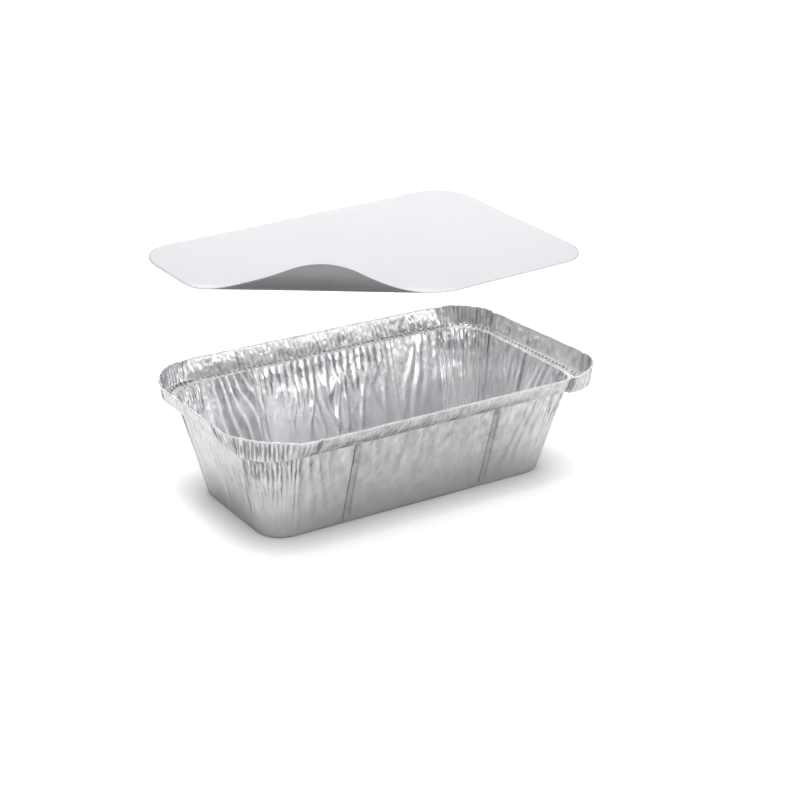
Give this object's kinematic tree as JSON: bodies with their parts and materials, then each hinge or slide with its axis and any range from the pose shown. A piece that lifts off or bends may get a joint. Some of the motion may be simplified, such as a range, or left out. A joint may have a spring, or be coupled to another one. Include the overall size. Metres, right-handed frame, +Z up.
{
  "type": "foil food container",
  "caption": "Rectangular pressed aluminium foil tray with wrinkled corners, ledge and flared lip, and a foil-backed board lid held above it with one corner curled up.",
  "frame": {"origin": "centre of the tray's flat underside", "axes": "+X along the tray's long sides, +Z up out of its opening; the near long side faces -Y"},
  "size_m": [0.2262, 0.14, 0.1525],
  "materials": {
    "foil": "bright crumpled foil",
    "lid_board": "smooth coated white board, foil on the underside"
  },
  "bodies": {
    "root": {"tray": "foil", "lid": "lid_board"}
  },
  "joints": []
}
